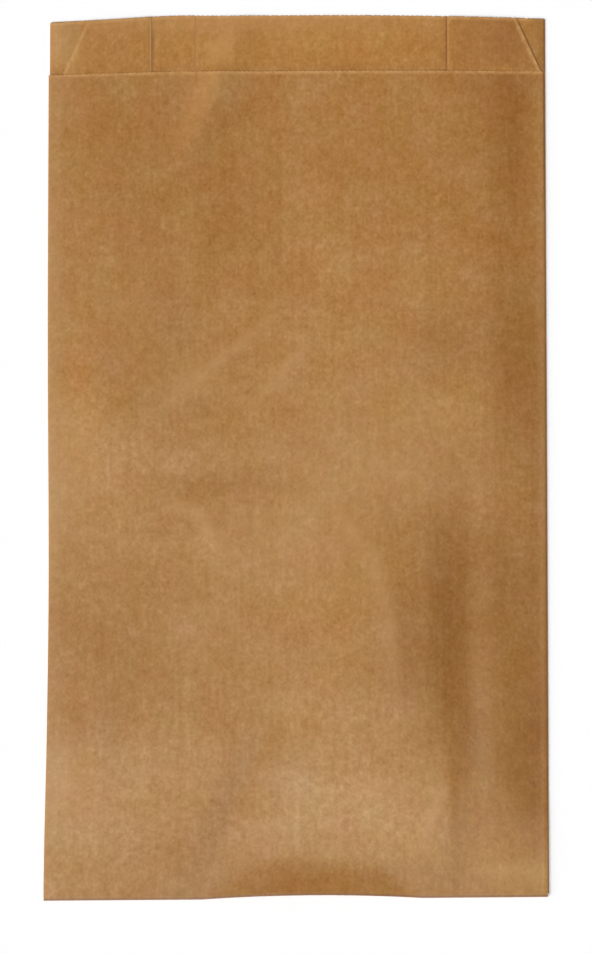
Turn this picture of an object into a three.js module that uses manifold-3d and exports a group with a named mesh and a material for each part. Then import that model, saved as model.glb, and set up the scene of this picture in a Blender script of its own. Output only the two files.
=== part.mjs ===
// A flat gusseted paper bag for bakery goods, empty and lying on its back.
//
// The bag is one sheet of kraft paper. It is folded into a tube with a pleat in each side, lapped and glued along the
// back, and closed by folding the front panel's longer end under the back panel and gluing it there. At the mouth the
// back panel and the pleats reach past the front panel as a lip, and the pleat's upper layer is cut on a slant.
// The cut ends are pinked.
//
// Units are millimetres. +X is to the right, +Y runs from the bottom fold to the mouth, and +Z is up, out of the front
// panel. The origin is under the middle of the bag, on the surface that it lies on.
import * as THREE from "three";
import Module from "manifold-3d";

// Driving dimensions of the bag
const faceWidth = 170; // front and back panel, side fold to side fold
const leftGussetDepth = 35; // left pleat, side fold to inner fold
const rightGussetDepth = 33.3; // right pleat
const backLength = 301.5; // bottom fold to the end of the lip
const lipLength = 19; // how far the back panel reaches past the front panel
const flapLength = 24; // end of the front panel that is folded under the back panel
const gussetStop = 1; // how far the pleats and the back panel stop short of the bottom fold
const seamEdgeX = -35; // free edge of the seam's inner lap, from the bag's middle
const seamOverlap = 15; // width of the lap
const seamRamp = 4; // length over which the inner lap comes down beside the outer one
const panelSkew = 0.4; // how far the front panel lies to the left of the back panel

// The sheet and how its layers lie
const paperThickness = 0.08;
const airGap = 0.1; // between two layers that only lie on each other
const glueFilm = 0.05; // between two layers that are glued
const settleMargin = 1; // from the end of the flap to where the layers start to come down beside it
const settleRun = 12; // length over which they come down, so that the back panel lies flat
const mouthSag = 0.22; // how far the front panel sinks between the pleats at the mouth
const sagRamp = 10; // from a pleat's inner fold to where the front panel has sunk fully
const sagLength = 45; // from the mouth to where it no longer sinks

// The knife that cuts the tube off
const toothPitch = 1.6;
const toothDepth = 0.3;
const slantStart = 3; // from the side fold to where the slanted cut of the pleat begins
const slantRun = 8.5; // width of the slanted cut
const knifeShift = 1.8; // how far the knife sits off the bag's middle

// Glue lines, set back from the edges of the paper that they hold
const seamGlueMargin = 3;
const flapGlueMargin = 6; // from a side fold
const flapGlueEdge = 3; // from the end of the flap
const flapGlueWidth = 4.5;

// The front panel's soft relief: low swellings, each with its centre, its reach each way and its height
const swellings = [
  { x: 31, y: -66, reachX: 29, reachY: 44, height: 2.9 },
  { x: 2, y: -100, reachX: 44, reachY: 30, height: 0.7 },
  { x: -64, y: -90, reachX: 34, reachY: 32, height: 1.2 },
  { x: -64, y: 16, reachX: 26, reachY: 24, height: 1.3 },
  { x: -44, y: 84, reachX: 36, reachY: 40, height: 0.6 },
  { x: 52, y: 60, reachX: 44, reachY: 56, height: 1.3 },
  { x: 70, y: -74, reachX: 14, reachY: 46, height: 0.7 },
];
// Hollows along the bag, each with its place, its two ends, its width and the share of the relief that it takes away
const hollows = [
  { x: 57, top: 20, bottom: -150, width: 8, share: 0.35 },
  { x: -2, top: 160, bottom: 10, width: 10, share: 0.7 },
];
const sideFade = 20; // distance from a side fold over which the relief dies out
const bottomFade = 42; // distance from the bottom fold over which the relief dies out
const mouthFade = 70; // distance from the mouth over which the relief eases
const mouthRelief = 0.1; // share of the relief that is left at the mouth

// Small departures from a square bag, the same for all layers
const outOfSquare = 0.0075; // rise of the cut ends per length across the bag
const lipOut = 0.57; // how far the lip bows out in the middle
const lipIn = 1.33; // how far it draws back at its ends
const lipBowStart = 115; // the bow starts this far from the bag's middle
const shoulderX = -43; // where the lip has its shoulder
const shoulderReach = 17;
const shoulderOut = 0.58;
const bendX = 6; // middle of the arc along which the bottom fold is bent up
const bendHalf = 38; // half of the arc's width
const bendDepth = 14; // how far the arc reaches up from the bottom fold
const bendSlope = 0.09; // rise per length below the arc
const bendEase = 2; // length over which that rise begins
const bottomDraw = 1.2; // how far the bottom fold is drawn in
const drawLength = 60; // length over which that dies out

// Fineness of the faceted sheet
const frontStep = 7.5; // between columns on the front panel
const bendStep = 8; // between columns of the back panel where it is bent up
const flatStep = 60; // between columns on a panel that lies flat
const foldFacets = 3;
const bottomFoldFacets = 6;
const flapRows = 5; // over the flap
const settleRows = 2; // where the layers come down beside it
const bodyRows = 15; // from there to the mouth
const cutMargin = 2; // the last row stops this far short of the front panel's or the flap's cut edge
const leastStep = 0.25; // points of a cut edge are never closer than this

// Heights of the layers' middle surfaces, from the lowest up
const layerPitch = paperThickness + airGap;
const gluePitch = paperThickness + glueFilm;
const flapZ = paperThickness / 2;
const backZ = flapZ + gluePitch;
const innerLapZ = backZ + gluePitch;
const frontZ = backZ + 3 * layerPitch;

// Places along the bag, from the bottom fold's tangent line
const bottomFoldRadius = (frontZ - flapZ) / 2;
const bottomFoldArc = Math.PI * bottomFoldRadius;
const bottomFoldReach = bottomFoldRadius + paperThickness / 2;
const backEnd = backLength - bottomFoldReach;
const frontEnd = backEnd - lipLength;
const flapEnd = -(bottomFoldArc + flapLength);
const settleStart = flapLength + settleMargin;
const settleEnd = settleStart + settleRun;
const halfLength = backLength / 2;
const middleY = halfLength - bottomFoldReach;

// Places across the bag
const foldRadius = layerPitch / 2;
const halfWidth = faceWidth / 2;
const frontLeft = -halfWidth - panelSkew / 2;
const frontRight = halfWidth - panelSkew / 2;
const backLeft = -halfWidth + panelSkew / 2;
const backRight = halfWidth + panelSkew / 2;
const leftInnerX = leftGussetDepth - halfWidth;
const rightInnerX = halfWidth - rightGussetDepth;
const seamOuterX = seamEdgeX - seamOverlap;

// Where the slanted cut of each pleat starts and ends, from its side fold
const leftSlant = [slantStart + knifeShift, slantStart + knifeShift + slantRun];
const rightSlant = [slantStart - knifeShift, slantStart - knifeShift + slantRun];

const { clamp, euclideanModulo, lerp, smoothstep } = THREE.MathUtils;

// The share of the relief that the hollows leave.
function leftByHollows(x, y) {
  let left = 1;
  for (const h of hollows) {
    const along = clamp((h.top - y) / (h.top - h.bottom), 0, 1);
    const taper = (4 * along * (1 - along)) ** 2;
    left *= 1 - h.share * taper * Math.exp(-(((x - h.x) / h.width) ** 2));
  }
  return left;
}

// Height of the front panel above where it would lie flat, at a point of the square bag.
function relief(x, y) {
  const fromSide = Math.min(x - frontLeft, frontRight - x);
  const fromBottom = y + middleY;
  const atSide = smoothstep(fromSide, 0, sideFade);
  const atBottom = smoothstep(fromBottom, 0, bottomFade);
  const atMouth = lerp(mouthRelief, 1, smoothstep(frontEnd - fromBottom, 0, mouthFade));
  let height = 0;
  for (const s of swellings) {
    height += s.height * Math.exp(-(((x - s.x) / s.reachX) ** 2) - ((y - s.y) / s.reachY) ** 2);
  }
  return height * leftByHollows(x, y) * atSide * atBottom * atMouth;
}

// How far the front panel sinks towards the back panel near the mouth, between the pleats.
function sag(x, y) {
  const between = smoothstep(Math.min(x - leftInnerX, rightInnerX - x), 0, sagRamp);
  const nearMouth = 1 - smoothstep(frontEnd - y - middleY, 0, sagLength);
  return mouthSag * between * nearMouth;
}

// How far the layers lie below their height over the flap, at a distance v from the bottom fold.
function settle(v) {
  return gluePitch * smoothstep(v, settleStart, settleEnd);
}

// Where a point of the square bag comes to lie.
function lie(x, y, z) {
  const bow = lipOut - (lipOut + lipIn) * (x / halfWidth) ** 2;
  const shoulder = shoulderOut * Math.exp(-(((x - shoulderX) / shoulderReach) ** 2));
  const out = (bow + shoulder) * smoothstep(y, lipBowStart, halfLength);
  const arc = Math.max(0, 1 - ((x - bendX) / bendHalf) ** 2);
  const below = bendDepth * arc - y - halfLength;
  const eased = clamp(below, 0, bendEase) ** 2 / (2 * bendEase);
  const lift = bendSlope * (eased + Math.max(0, below - bendEase));
  const drawn = bottomDraw * arc * (1 - smoothstep(y + halfLength, 0, drawLength));
  return [x, y + outOfSquare * x + out + drawn, z + lift];
}

// The tube's section as a walk round its girth: straight runs and half turns of the paper's middle surface.
// Each column keeps u, the length walked, its place and the direction that faces out of the bag.
class SectionWalk {
  constructor(x, z, heading) {
    Object.assign(this, { x, z, heading, u: 0, columns: [] });
    this.mark();
  }

  mark(nx = 0, nz = this.heading) {
    this.columns.push({ u: this.u, x: this.x, z: this.z, nx, nz });
  }

  runTo(x, z = this.z, step = flatStep) {
    const [x0, z0] = [this.x, this.z];
    const parts = Math.max(1, Math.ceil(Math.abs(x - x0) / step));
    const length = Math.hypot(x - x0, z - z0) / parts;
    for (let k = 1; k <= parts; k++) {
      this.x = lerp(x0, x, k / parts);
      this.z = lerp(z0, z, k / parts);
      this.u += length;
      this.mark();
    }
  }

  // Turns back on itself one layer higher or lower, and returns u at the fold's outermost line.
  halfTurn(rise) {
    const [x0, z0, start] = [this.x, this.z, this.u];
    const arc = Math.PI * foldRadius;
    for (let k = 1; k <= foldFacets; k++) {
      const angle = (Math.PI * k) / foldFacets;
      this.x = x0 + this.heading * foldRadius * Math.sin(angle);
      this.z = z0 + (rise / 2) * (1 - Math.cos(angle));
      this.u = start + (arc * k) / foldFacets;
      this.mark(-Math.sign(rise) * Math.sin(angle), this.heading * Math.cos(angle));
    }
    this.heading = -this.heading;
    return start + arc / 2;
  }
}

// Walks from the seam's inner lap round the bag to its outer lap.
function walkSection() {
  const walk = new SectionWalk(seamEdgeX, innerLapZ, -1);
  walk.runTo(seamOuterX);
  walk.runTo(seamOuterX - seamRamp, backZ);
  walk.runTo(backLeft + foldRadius);
  walk.halfTurn(layerPitch);
  walk.runTo(leftInnerX - foldRadius);
  walk.halfTurn(layerPitch);
  walk.runTo(frontLeft + foldRadius);
  const leftFold = walk.halfTurn(layerPitch);
  const frontFrom = walk.u;
  walk.runTo(frontRight - foldRadius, frontZ, frontStep);
  const frontTo = walk.u;
  const rightFold = walk.halfTurn(-layerPitch);
  walk.runTo(rightInnerX + foldRadius);
  walk.halfTurn(-layerPitch);
  walk.runTo(backRight - foldRadius);
  walk.halfTurn(-layerPitch);
  walk.runTo(bendX + bendHalf);
  walk.runTo(bendX - bendHalf, backZ, bendStep);
  walk.runTo(seamOuterX);
  return { columns: walk.columns, leftFold, rightFold, frontFrom, frontTo };
}

const section = walkSection();
const isFront = (u) => u >= section.frontFrom && u <= section.frontTo;

// The section at any length u, on the facet between two columns.
function sectionAt(u) {
  const { columns } = section;
  const next = Math.max(1, columns.findIndex((c) => c.u >= u));
  const [a, b] = [columns[next - 1], columns[next]];
  const share = (u - a.u) / (b.u - a.u);
  const normal = new THREE.Vector2(lerp(a.nx, b.nx, share), lerp(a.nz, b.nz, share)).normalize();
  return { x: lerp(a.x, b.x, share), z: lerp(a.z, b.z, share), nx: normal.x, nz: normal.y };
}

// Folds a point of the flat sheet: u round the girth, v along the bag, below 0 past the bottom fold.
function fold(u, v) {
  const { x, z, nx, nz } = sectionAt(u);
  const y = v - middleY;
  const settled = z - settle(v);
  if (!isFront(u)) return { point: lie(x, y, settled), normal: [nx, 0, nz] };
  if (v >= 0) return { point: lie(x, y, settled + relief(x, y) - sag(x, y)), normal: [0, 0, 1] };
  const angle = Math.min(-v / bottomFoldRadius, Math.PI);
  const past = Math.max(0, -v - bottomFoldArc);
  const turnedY = past - bottomFoldRadius * Math.sin(angle) - middleY;
  const turnedZ = flapZ + bottomFoldRadius * (1 + Math.cos(angle));
  return { point: lie(x, turnedY, turnedZ), normal: [0, -Math.sin(angle), Math.cos(angle)] };
}

// The line of the knife at the mouth, without its teeth: short on the front panel, slanted up to the lip in the pleats.
function mouthLine(u) {
  const past = Math.max(section.leftFold - u, u - section.rightFold);
  const [start] = u < section.leftFold ? leftSlant : rightSlant;
  const share = clamp((past - start) / slantRun, 0, 1);
  return { v: lerp(frontEnd, backEnd, share), slanted: share > 0 && share < 1 };
}

// How far a tooth cuts back at u: nothing at its tip and the full depth between two tips.
function toothCut(u) {
  const phase = euclideanModulo((u - section.leftFold) / toothPitch, 1);
  return toothDepth * Math.abs(2 * phase - 1);
}

// The places along a cut edge that its teeth, the columns and the ends of slanted cuts need.
function edgePlaces(from, to, corners) {
  const kept = section.columns.map((c) => c.u).concat(corners);
  const inside = kept.filter((u) => u >= from && u <= to);
  const half = toothPitch / 2;
  const first = Math.ceil((from - section.leftFold) / half);
  for (let k = first; section.leftFold + k * half < to; k++) {
    const u = section.leftFold + k * half;
    if (inside.every((other) => Math.abs(other - u) > leastStep)) inside.push(u);
  }
  return inside.sort((a, b) => a - b);
}

// The flat sheet as vertices with their folded places, and triangles that face out of the bag.
class Sheet {
  points = [];
  normals = [];
  triangles = [];

  row(places, height) {
    return places.map((u) => {
      const { point, normal } = fold(u, height(u));
      this.points.push(point);
      this.normals.push(normal);
      return { u, id: this.points.length - 1 };
    });
  }

  // Fills the strip between two rows, which may have different places along u.
  stitch(lower, upper) {
    let [i, j] = [0, 0];
    while (i < lower.length - 1 || j < upper.length - 1) {
      const lowerNext = i < lower.length - 1 ? lower[i + 1].u : Infinity;
      const upperNext = j < upper.length - 1 ? upper[j + 1].u : Infinity;
      if (lowerNext <= upperNext) {
        this.triangles.push([lower[i].id, lower[i + 1].id, upper[j].id]);
        i++;
      } else {
        this.triangles.push([lower[i].id, upper[j + 1].id, upper[j].id]);
        j++;
      }
    }
  }

  // Gives the sheet its thickness: an outer face, an inner face and a rim along every free edge.
  solid(wasm) {
    const count = this.points.length;
    const vertices = new Float32Array(count * 6);
    this.points.forEach((p, i) => {
      const outer = p.map((c, k) => c + (this.normals[i][k] * paperThickness) / 2);
      const inner = p.map((c, k) => c - (this.normals[i][k] * paperThickness) / 2);
      vertices.set(outer, i * 3);
      vertices.set(inner, (count + i) * 3);
    });
    const edgeKey = (a, b) => a * count + b;
    const edges = new Map();
    const faces = [];
    for (const [a, b, c] of this.triangles) {
      faces.push(a, b, c, count + c, count + b, count + a);
      for (const [from, to] of [[a, b], [b, c], [c, a]]) edges.set(edgeKey(from, to), [from, to]);
    }
    for (const [from, to] of edges.values()) {
      if (edges.has(edgeKey(to, from))) continue;
      faces.push(to, from, count + from, to, count + from, count + to);
    }
    return solidOf(wasm, vertices, new Uint32Array(faces));
  }
}

function solidOf(wasm, vertProperties, triVerts) {
  return new wasm.Manifold(new wasm.Mesh({ numProp: 3, vertProperties, triVerts }));
}

// The distances from the bottom fold at which the sheet has a plain row of points.
function rowHeights() {
  const stretches = [
    [gussetStop, settleStart, flapRows],
    [settleStart, settleEnd, settleRows],
    [settleEnd, frontEnd - cutMargin, bodyRows],
  ];
  const heights = [gussetStop];
  for (const [from, to, count] of stretches) {
    for (let k = 1; k <= count; k++) heights.push(lerp(from, to, k / count));
  }
  return heights;
}

// The places of the front panel's rows past the bottom fold: round the fold, then under the rows of the back panel.
function flapHeights() {
  const heights = [];
  for (let k = 0; k <= bottomFoldFacets; k++) heights.push((-bottomFoldArc * k) / bottomFoldFacets);
  const under = rowHeights().filter((v) => v < flapLength - cutMargin);
  return heights.concat(under.map((v) => -bottomFoldArc - v));
}

// The sheet from the mouth to the bottom fold, and on to the end of the flap on the front panel.
function foldedSheet() {
  const sheet = new Sheet();
  const girth = section.columns.map((c) => c.u);
  const across = girth.filter(isFront);

  const rows = rowHeights().map((v) => sheet.row(girth, () => v));
  const slantEnds = [
    ...leftSlant.map((d) => section.leftFold - d),
    ...rightSlant.map((d) => section.rightFold + d),
  ];
  const mouth = sheet.row(edgePlaces(girth[0], girth.at(-1), slantEnds), (u) => {
    const { v, slanted } = mouthLine(u);
    return slanted ? v : v - toothCut(u);
  });
  rows.push(mouth);
  rows.slice(1).forEach((row, k) => sheet.stitch(rows[k], row));

  let above = rows[0].filter((p) => isFront(p.u));
  for (const v of flapHeights()) {
    const row = sheet.row(across, () => v);
    sheet.stitch(row, above);
    above = row;
  }
  const flapEdge = sheet.row(edgePlaces(across[0], across.at(-1), []), (u) => flapEnd + toothCut(u));
  sheet.stitch(flapEdge, above);
  return sheet;
}

// A film of glue between two layers, from the middle of the lower sheet to the middle of the upper one.
function glueLine(wasm, [x0, x1], [y0, y1], [z0, z1]) {
  const box = new THREE.BoxGeometry(x1 - x0, y1 - y0, z1 - z0);
  box.translate((x0 + x1) / 2, (y0 + y1) / 2 - middleY, (z0 + z1) / 2);
  const corners = [];
  const shared = new Map();
  const position = box.getAttribute("position");
  const triVerts = box.index.array.map((i) => {
    const corner = [position.getX(i), position.getY(i), position.getZ(i)];
    const key = corner.join();
    if (!shared.has(key)) {
      shared.set(key, shared.size);
      corners.push(...corner);
    }
    return shared.get(key);
  });
  return solidOf(wasm, new Float32Array(corners), new Uint32Array(triVerts));
}

// The glue along the seam, over the flap and past it, and the glue line near the end of the flap.
function glueLines(wasm) {
  const seamWidth = [seamOuterX + seamGlueMargin, seamEdgeX - seamGlueMargin];
  const seamOverFlap = [gussetStop + seamGlueMargin, settleStart];
  const seamPastFlap = [settleEnd, backEnd - seamGlueMargin];
  const seam = [seamOverFlap, seamPastFlap].map((span) => {
    const down = settle(span[1]);
    return glueLine(wasm, seamWidth, span, [backZ - down, innerLapZ - down]);
  });
  const flapWidth = [frontLeft + flapGlueMargin, frontRight - flapGlueMargin];
  const flapGlueEnd = flapLength - flapGlueEdge;
  return [...seam, glueLine(wasm, flapWidth, [flapGlueEnd - flapGlueWidth, flapGlueEnd], [flapZ, backZ])];
}

function bagGeometry(wasm) {
  const bag = glueLines(wasm).reduce((solid, line) => solid.add(line), foldedSheet().solid(wasm));
  const mesh = bag.getMesh();
  const geometry = new THREE.BufferGeometry();
  geometry.setAttribute("position", new THREE.BufferAttribute(mesh.vertProperties, 3));
  geometry.setIndex(new THREE.BufferAttribute(mesh.triVerts, 1));
  geometry.computeVertexNormals();
  return geometry;
}

const wasm = await Module();
wasm.setup();

const kraft = new THREE.MeshStandardMaterial({ color: 0xab7e4d, roughness: 0.7, metalness: 0 });
const paperBag = new THREE.Mesh(bagGeometry(wasm), kraft);
paperBag.name = "paper_bag";

const part = new THREE.Group();
part.add(paperBag);

export default part;
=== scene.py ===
"""The looks of a flat gusseted paper bag that lies empty on its back, seen from above.

The bag is made the way the real one is: a flat sheet with its own coordinates, u round the girth and v along
the bag, is folded into layers, given its thickness, and laid down with the small swellings and creases of
handled paper.
"""
import math

import bpy
import numpy as np
from mathutils import Matrix, Vector


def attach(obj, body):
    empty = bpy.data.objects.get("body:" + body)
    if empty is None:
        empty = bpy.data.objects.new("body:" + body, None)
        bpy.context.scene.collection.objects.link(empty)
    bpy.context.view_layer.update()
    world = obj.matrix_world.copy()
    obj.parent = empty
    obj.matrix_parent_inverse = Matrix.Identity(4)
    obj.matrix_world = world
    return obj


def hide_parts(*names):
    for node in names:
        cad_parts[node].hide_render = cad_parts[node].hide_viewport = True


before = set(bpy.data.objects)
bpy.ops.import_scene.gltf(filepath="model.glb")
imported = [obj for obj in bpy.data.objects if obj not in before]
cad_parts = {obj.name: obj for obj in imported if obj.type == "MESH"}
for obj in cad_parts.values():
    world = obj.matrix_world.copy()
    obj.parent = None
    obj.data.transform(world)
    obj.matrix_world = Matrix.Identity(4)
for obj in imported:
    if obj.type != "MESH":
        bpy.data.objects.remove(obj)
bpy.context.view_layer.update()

MM = 0.001

# The folded sheet. Its layers lie closer to each other than in the solid.
FACE_WIDTH = 170 * MM
LEFT_GUSSET_DEPTH = 35 * MM
RIGHT_GUSSET_DEPTH = 33.3 * MM
BACK_LENGTH = 301.5 * MM
LIP_LENGTH = 19 * MM
FLAP_LENGTH = 24 * MM
GUSSET_STOP = 1 * MM  # the pleats and the back panel end this far above the bottom fold
SEAM_EDGE_X = -35 * MM  # the end of the seam's inner lap
SEAM_OVERLAP = 15 * MM
SEAM_RAMP = 4 * MM  # the inner lap comes down to the back panel over this length
PANEL_SKEW = 0.4 * MM  # the front panel lies this far to the left of the back panel
PAPER = 0.08 * MM
AIR_GAP = 0.025 * MM
GLUE_FILM = 0.015 * MM
SETTLE_MARGIN = 1 * MM  # past the flap's end, before the layers come down beside it
SETTLE_RUN = 12 * MM  # they come down over this length

# The knife that cuts the tube off
TOOTH_PITCH = 1.6 * MM
TOOTH_DEPTH = 0.3 * MM
SLANT_START = 3 * MM  # from a side fold to the start of its slanted cut
SLANT_RUN = 8.5 * MM
KNIFE_SHIFT = 1.8 * MM  # takes the left cut farther from its fold and the right one nearer

# Fineness of the mesh
FRONT_STEP = 1.4 * MM
GUSSET_STEP = 1.6 * MM
HIDDEN_STEP = 6 * MM
BACK_STEP = 3 * MM
ROW_STEP = 1.9 * MM
FOLD_FACETS = 5
BOTTOM_FACETS = 8
TEETH_CLEAR = 0.1 * MM  # between the last plain row and the bottom of the teeth
MOUTH_SHARES = (0.2, 0.38, 0.54, 0.68, 0.79, 0.88, 0.95, 1.0)  # rows from the body to the cut at the mouth
MOUTH_START = 5 * MM  # those rows start this far below the front panel's cut edge
LEAST_STEP = 0.2 * MM  # between two places along a cut edge

# Heights of the layers' middle surfaces, and places along and across the bag
LAYER_PITCH = PAPER + AIR_GAP
GLUE_PITCH = PAPER + GLUE_FILM
FLAP_Z = PAPER / 2
BACK_Z = FLAP_Z + GLUE_PITCH
INNER_LAP_Z = BACK_Z + GLUE_PITCH
FRONT_Z = BACK_Z + 3 * LAYER_PITCH
BOTTOM_RADIUS = (FRONT_Z - FLAP_Z) / 2
BOTTOM_ARC = math.pi * BOTTOM_RADIUS
BOTTOM_REACH = BOTTOM_RADIUS + PAPER / 2
BACK_END = BACK_LENGTH - BOTTOM_REACH
FRONT_END = BACK_END - LIP_LENGTH
MIDDLE_Y = BACK_LENGTH / 2 - BOTTOM_REACH
SETTLE_START = FLAP_LENGTH + SETTLE_MARGIN
SETTLE_END = SETTLE_START + SETTLE_RUN
FOLD_RADIUS = LAYER_PITCH / 2
HALF_WIDTH = FACE_WIDTH / 2
HALF_LENGTH = BACK_LENGTH / 2
FRONT_LEFT = -HALF_WIDTH - PANEL_SKEW / 2
FRONT_RIGHT = HALF_WIDTH - PANEL_SKEW / 2
BACK_LEFT = -HALF_WIDTH + PANEL_SKEW / 2
BACK_RIGHT = HALF_WIDTH + PANEL_SKEW / 2
LEFT_INNER_X = LEFT_GUSSET_DEPTH - HALF_WIDTH
RIGHT_INNER_X = HALF_WIDTH - RIGHT_GUSSET_DEPTH
SEAM_OUTER_X = SEAM_EDGE_X - SEAM_OVERLAP


def smooth(value, low, high):
    """0 below low, 1 above high, and an even ease between them."""
    share = np.clip((value - low) / (high - low), 0, 1)
    return share * share * (3 - 2 * share)


def above_zero(value, rounding):
    """The value where it is above 0, and 0 below, with a rounded change between them."""
    return (value + np.sqrt(value ** 2 + rounding ** 2)) / 2


# The section of the folded sheet
class SectionWalk:
    """A walk round the girth along the paper's middle surface, with a station for each column of the mesh."""

    def __init__(self, x, z, heading):
        self.x, self.z, self.heading, self.u = x, z, heading, 0.0
        self.stations = []
        self.mark(0.0, heading)

    def mark(self, normal_x, normal_z):
        self.stations.append((self.u, self.x, self.z, normal_x, normal_z))

    def run_to(self, x, z, step):
        start_x, start_z, start_u = self.x, self.z, self.u
        length = math.hypot(x - start_x, z - start_z)
        parts = max(1, math.ceil(length / step))
        for k in range(1, parts + 1):
            share = k / parts
            self.x = start_x + (x - start_x) * share
            self.z = start_z + (z - start_z) * share
            self.u = start_u + length * share
            self.mark(0.0, self.heading)

    def half_turn(self, rise):
        """Turns back on itself one layer higher or lower, and returns u at the fold's outermost line."""
        start_x, start_z, start_u = self.x, self.z, self.u
        arc = math.pi * FOLD_RADIUS
        for k in range(1, FOLD_FACETS + 1):
            angle = math.pi * k / FOLD_FACETS
            self.x = start_x + self.heading * FOLD_RADIUS * math.sin(angle)
            self.z = start_z + rise / 2 * (1 - math.cos(angle))
            self.u = start_u + arc * k / FOLD_FACETS
            self.mark(-math.copysign(math.sin(angle), rise), self.heading * math.cos(angle))
        self.heading = -self.heading
        return start_u + arc / 2


class Section:
    """The walk from the seam's inner lap round the bag to its outer lap."""

    def __init__(self):
        walk = SectionWalk(SEAM_EDGE_X, INNER_LAP_Z, -1)
        walk.run_to(SEAM_OUTER_X, INNER_LAP_Z, BACK_STEP)
        walk.run_to(SEAM_OUTER_X - SEAM_RAMP, BACK_Z, BACK_STEP)
        walk.run_to(BACK_LEFT + FOLD_RADIUS, BACK_Z, BACK_STEP)
        self.back_left_fold = walk.half_turn(LAYER_PITCH)
        walk.run_to(LEFT_INNER_X - FOLD_RADIUS, walk.z, HIDDEN_STEP)
        self.left_inner = walk.half_turn(LAYER_PITCH)
        walk.run_to(FRONT_LEFT + FOLD_RADIUS, walk.z, GUSSET_STEP)
        self.left_fold = walk.half_turn(LAYER_PITCH)
        self.front_from = walk.u
        walk.run_to(FRONT_RIGHT - FOLD_RADIUS, FRONT_Z, FRONT_STEP)
        self.front_to = walk.u
        self.right_fold = walk.half_turn(-LAYER_PITCH)
        walk.run_to(RIGHT_INNER_X + FOLD_RADIUS, walk.z, GUSSET_STEP)
        self.right_inner = walk.half_turn(-LAYER_PITCH)
        walk.run_to(BACK_RIGHT - FOLD_RADIUS, walk.z, HIDDEN_STEP)
        self.back_right_fold = walk.half_turn(-LAYER_PITCH)
        walk.run_to(SEAM_OUTER_X, BACK_Z, BACK_STEP)
        self.folds = [self.back_left_fold, self.left_inner, self.left_fold]
        self.folds += [self.right_fold, self.right_inner, self.back_right_fold]
        self.u, self.x, self.z, self.normal_x, self.normal_z = np.array(walk.stations).T
        self.girth = walk.u

    def is_front(self, u):
        return (u >= self.front_from) & (u <= self.front_to)

    def is_upper_pleat(self, u):
        left = (u > self.left_inner) & (u < self.left_fold)
        right = (u > self.right_fold) & (u < self.right_inner)
        return left | right

    def is_lower_pleat(self, u):
        left = (u > self.back_left_fold) & (u < self.left_inner)
        right = (u > self.right_inner) & (u < self.back_right_fold)
        return left | right

    def at(self, u):
        return [np.interp(u, self.u, values) for values in (self.x, self.z, self.normal_x, self.normal_z)]


SECTION = Section()

# Ends of the pleats' slanted cuts, from the side fold to the lip
LEFT_SLANT_START = SECTION.left_fold - SLANT_START - KNIFE_SHIFT
RIGHT_SLANT_START = SECTION.right_fold + SLANT_START - KNIFE_SHIFT
LEFT_SLANT_U = (LEFT_SLANT_START, LEFT_SLANT_START - SLANT_RUN)
RIGHT_SLANT_U = (RIGHT_SLANT_START, RIGHT_SLANT_START + SLANT_RUN)


# How the bag lies
def swell(x, y, centre, reach, height):
    """A soft round swelling. Its own sizes are in millimetres."""
    across = (x / MM - centre[0]) / reach[0]
    along = (y / MM - centre[1]) / reach[1]
    return height * MM * np.exp(-across ** 2 - along ** 2)


def line_profile(x, y, points, width):
    """1 halfway along a line through the points, and a soft fall to its sides and towards both of its ends.

    The line's own sizes are in millimetres.
    """
    whole = sum(math.dist(start, end) for start, end in zip(points, points[1:]))
    nearest = np.full(np.shape(x), math.inf)
    place = np.zeros(np.shape(x))
    run = 0
    for start, end in zip(points, points[1:]):
        length = math.dist(start, end)
        step_x, step_y = (end[0] - start[0]) / length, (end[1] - start[1]) / length
        from_x, from_y = x / MM - start[0], y / MM - start[1]
        along = np.clip(from_x * step_x + from_y * step_y, 0, length)
        away = np.hypot(from_x - along * step_x, from_y - along * step_y)
        place = np.where(away < nearest, (run + along) / whole, place)
        nearest = np.minimum(away, nearest)
        run += length
    return np.exp(-(nearest / width) ** 2) * (4 * place * (1 - place)) ** 2


# Swellings of the front panel: centre, reach each way and height, in millimetres
SWELLINGS = (
    ((31, -66), (29, 44), 2.5),
    ((2, -100), (44, 30), 0.7),
    ((-64, -90), (34, 32), 1.0),
    ((-64, 16), (26, 24), 1.2),
    ((-44, 84), (36, 40), 0.6),
    ((52, 60), (44, 56), 1.3),
    ((70, -74), (14, 46), 0.7),
)

# Hollows between them: the line, the width and the share of the height that is taken away
HOLLOWS = (
    (((57, 20), (58, -150)), 8, 0.35),
    (((-56, -12), (2, -3)), 4, 0.3),
    (((-2, 160), (-2, 10)), 10, 0.7),
)

# A dent low on the front panel, darkened with painted shade and dulled too
LOW_DENT = ((0, -70), (-45, -165))

# Creases of the front panel, from handling: the line, the width and the height, in millimetres
CREASES = (
    (((-52, 12), (3, 57)), 2.8, 0.18),
    (((-18, 12), (10, 47)), 2.6, 0.18),
    (((-54, -13), (-41, -16), (-32, -20), (-29, -28), (-23, -42)), 2.6, 0.15),
    (((0, 2), (26, -36), (31, -55), (36, -104)), 3.5, 0.07),
    (((52, -106), (40, -142)), 2.6, 0.2),
    (LOW_DENT, 5.5, -0.5),
)

# Flutes along the bag, narrow and hardly raised: the same
FLUTES = (
    (((46, -10), (45.5, -100)), 1.8, 0.05),
    (((50.5, -14), (50, -120)), 2, 0.06),
    (((55.5, -20), (55.5, -112)), 1.6, 0.04),
    (((62, -10), (63, -120)), 2.2, 0.04),
    (((-50, -40), (-50, -170)), 1.5, 0.1),
    (((51.5, -90), (51.5, -166)), 1.5, 0.13),
)

# How far from the sides, the bottom and the mouth the relief eases off, and the share left at the mouth
SIDE_FADE = 20 * MM
BOTTOM_FADE = 42 * MM
MOUTH_FADE = 70 * MM
MOUTH_RELIEF = 0.1

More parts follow.
